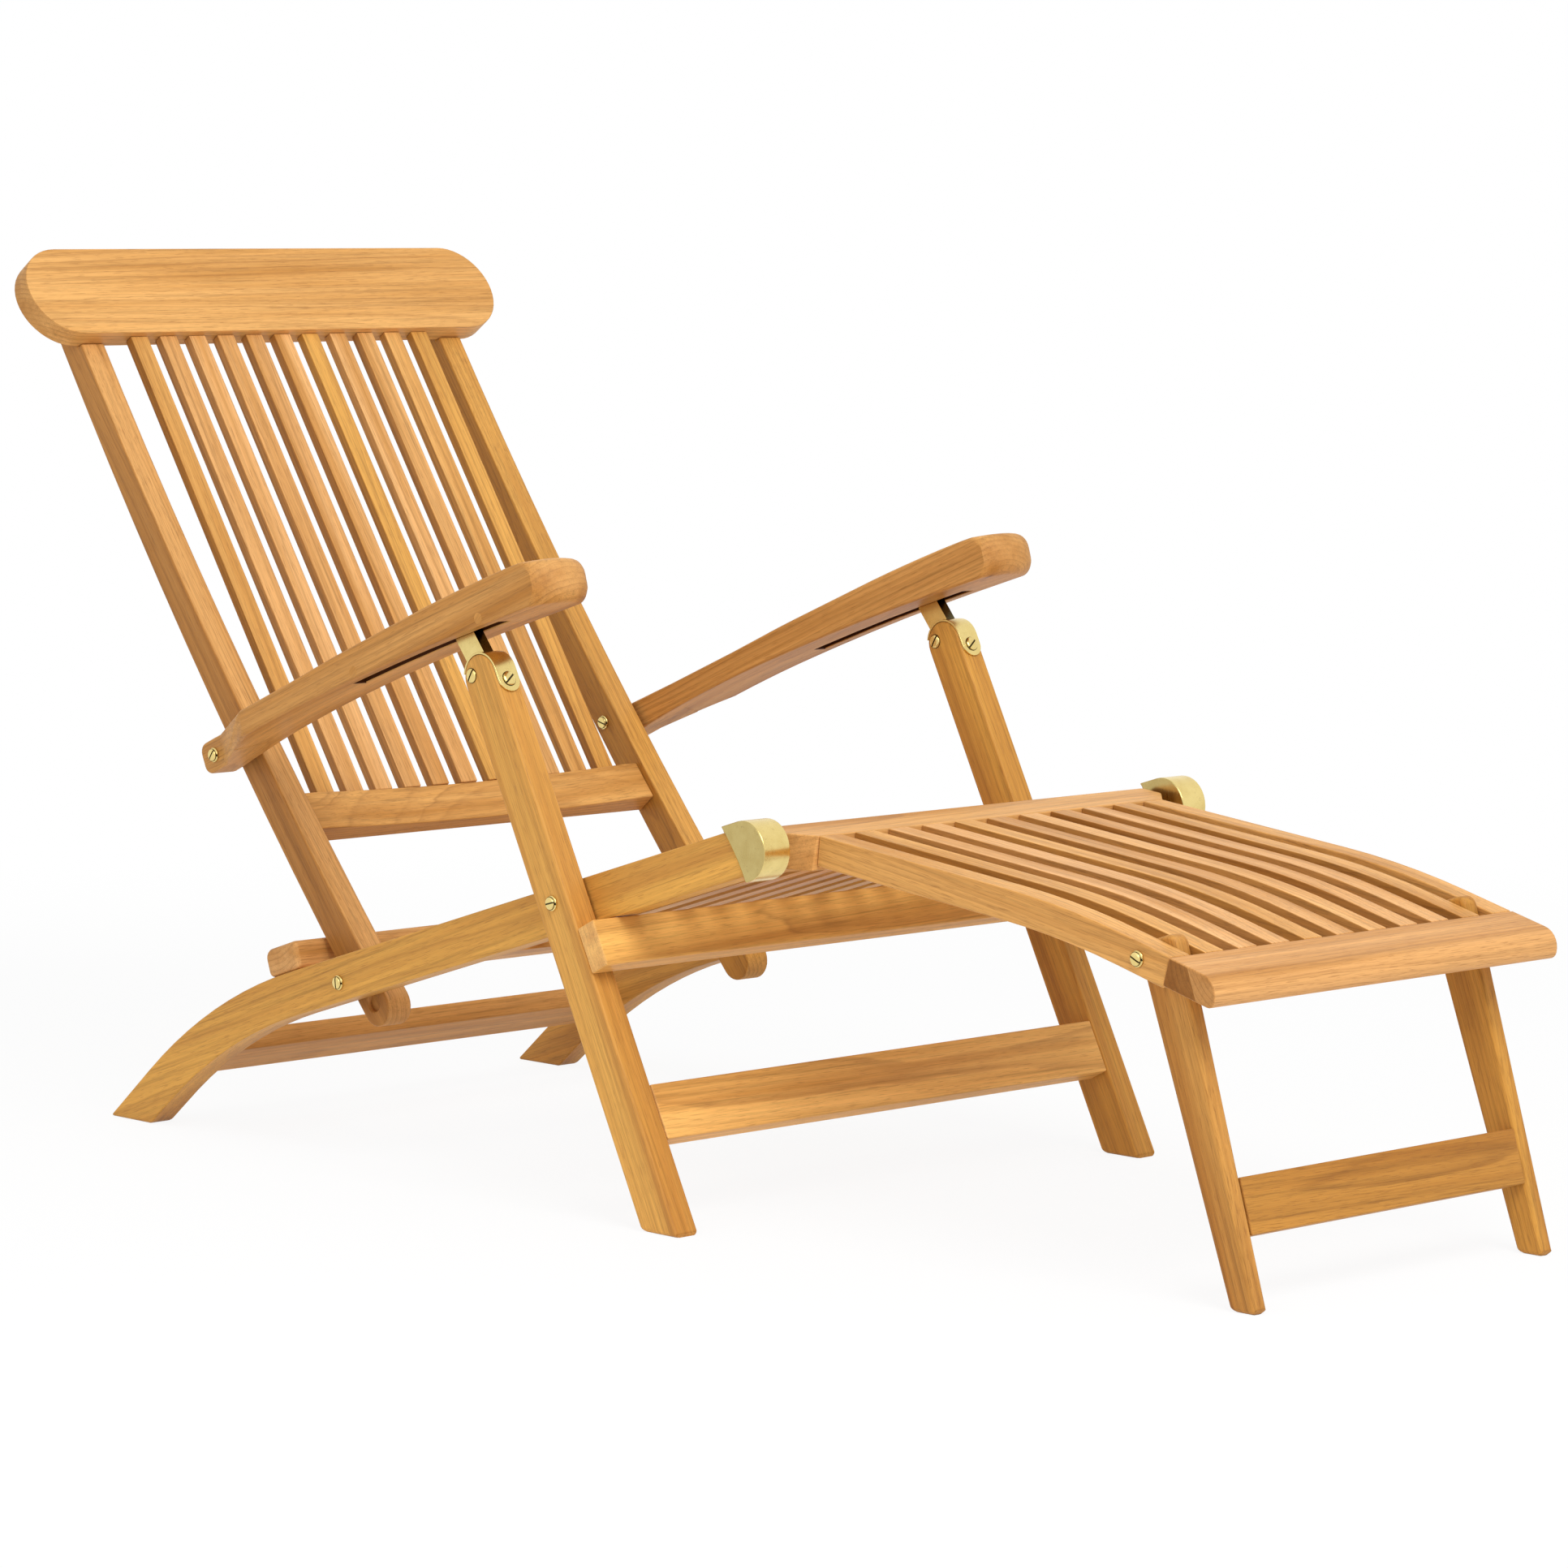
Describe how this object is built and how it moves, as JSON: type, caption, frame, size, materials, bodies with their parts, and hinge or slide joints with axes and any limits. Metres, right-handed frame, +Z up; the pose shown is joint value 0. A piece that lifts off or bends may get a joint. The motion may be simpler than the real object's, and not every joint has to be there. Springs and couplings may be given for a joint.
{
  "type": "steamer deck chair",
  "caption": "Folding wooden deck lounger with a reclined slatted back, flat arms, a slatted footrest on its own folding legs, and brass hinge fittings.",
  "frame": {"origin": "on the floor, below the middle of the chair's overall box", "axes": "+X from the head towards the feet, +Y to the sitter's left, +Z up"},
  "size_m": [1.514, 0.604, 0.8169],
  "materials": {
    "teak": "planed and finely sanded, oiled satin",
    "brass": "polished"
  },
  "bodies": {
    "seat_frame": {"left_seat_rail": "teak", "right_seat_rail": "teak", "left_hinge_cap": "brass", "right_hinge_cap": "brass", "left_hinge_pin": "brass", "right_hinge_pin": "brass", "left_back_bolt": "brass", "right_back_bolt": "brass", "rear_stretcher": "teak", "back_stop_rail": "teak", "seat_panel": "teak"},
    "backrest": {"head_rail": "teak", "back_cross_rail": "teak", "left_back_rail": "teak", "right_back_rail": "teak", "left_arm_bolt": "brass", "right_arm_bolt": "brass", "back_slat_1": "teak", "back_slat_2": "teak", "back_slat_3": "teak", "back_slat_4": "teak", "back_slat_5": "teak", "back_slat_6": "teak", "back_slat_7": "teak", "back_slat_8": "teak", "back_slat_9": "teak", "back_slat_10": "teak", "back_slat_11": "teak"},
    "left_arm": {"left_arm": "teak"},
    "right_arm": {"right_arm": "teak"},
    "front_legs": {"left_front_leg": "teak", "right_front_leg": "teak", "left_leg_bracket": "brass", "right_leg_bracket": "brass", "left_leg_bolt": "brass", "right_leg_bolt": "brass", "leg_upper_board": "teak", "leg_stretcher": "teak"},
    "footrest": {"footrest_rear_rail": "teak", "footrest_front_rail": "teak", "left_footrest_rail": "teak", "right_footrest_rail": "teak", "footrest_slat_1": "teak", "footrest_slat_2": "teak", "footrest_slat_3": "teak", "footrest_slat_4": "teak", "footrest_slat_5": "teak", "footrest_slat_6": "teak", "footrest_slat_7": "teak", "footrest_slat_8": "teak", "footrest_slat_9": "teak"},
    "footrest_legs": {"left_footrest_leg": "teak", "right_footrest_leg": "teak", "left_footrest_bolt": "brass", "right_footrest_bolt": "brass", "footrest_stretcher": "teak"}
  },
  "joints": [
    {"name": "back_fold", "type": "hinge", "parent": "seat_frame", "child": "backrest", "pos_m": [-0.26904, 0, 0.163], "axis": [0, 1, 0], "range_deg": [0, 88]},
    {"name": "left_arm_fold", "type": "hinge", "parent": "backrest", "child": "left_arm", "pos_m": [-0.44504, 0, 0.356], "axis": [0, 1, 0], "range_deg": [-78.32, 0]},
    {"name": "right_arm_fold", "type": "hinge", "parent": "backrest", "child": "right_arm", "pos_m": [-0.44504, 0, 0.356], "axis": [0, 1, 0], "range_deg": [-78.32, 0]},
    {"name": "front_leg_fold", "type": "hinge", "parent": "seat_frame", "child": "front_legs", "pos_m": [0.05596, 0, 0.267], "axis": [0, 1, 0], "range_deg": [0, 91.52]},
    {"name": "footrest_hinge", "type": "hinge", "parent": "seat_frame", "child": "footrest", "pos_m": [0.26696, 0, 0.325], "axis": [0, -1, 0], "range_deg": [0, 60]},
    {"name": "footrest_leg_fold", "type": "hinge", "parent": "footrest", "child": "footrest_legs", "pos_m": [0.65396, 0, 0.271], "axis": [0, 1, 0], "range_deg": [0, 105]}
  ],
  "couplings": [
    {"joint": "left_arm_fold", "follows": "back_fold", "ratio": -0.89},
    {"joint": "right_arm_fold", "follows": "back_fold", "ratio": -0.89},
    {"joint": "front_leg_fold", "follows": "back_fold", "ratio": 1.04}
  ]
}
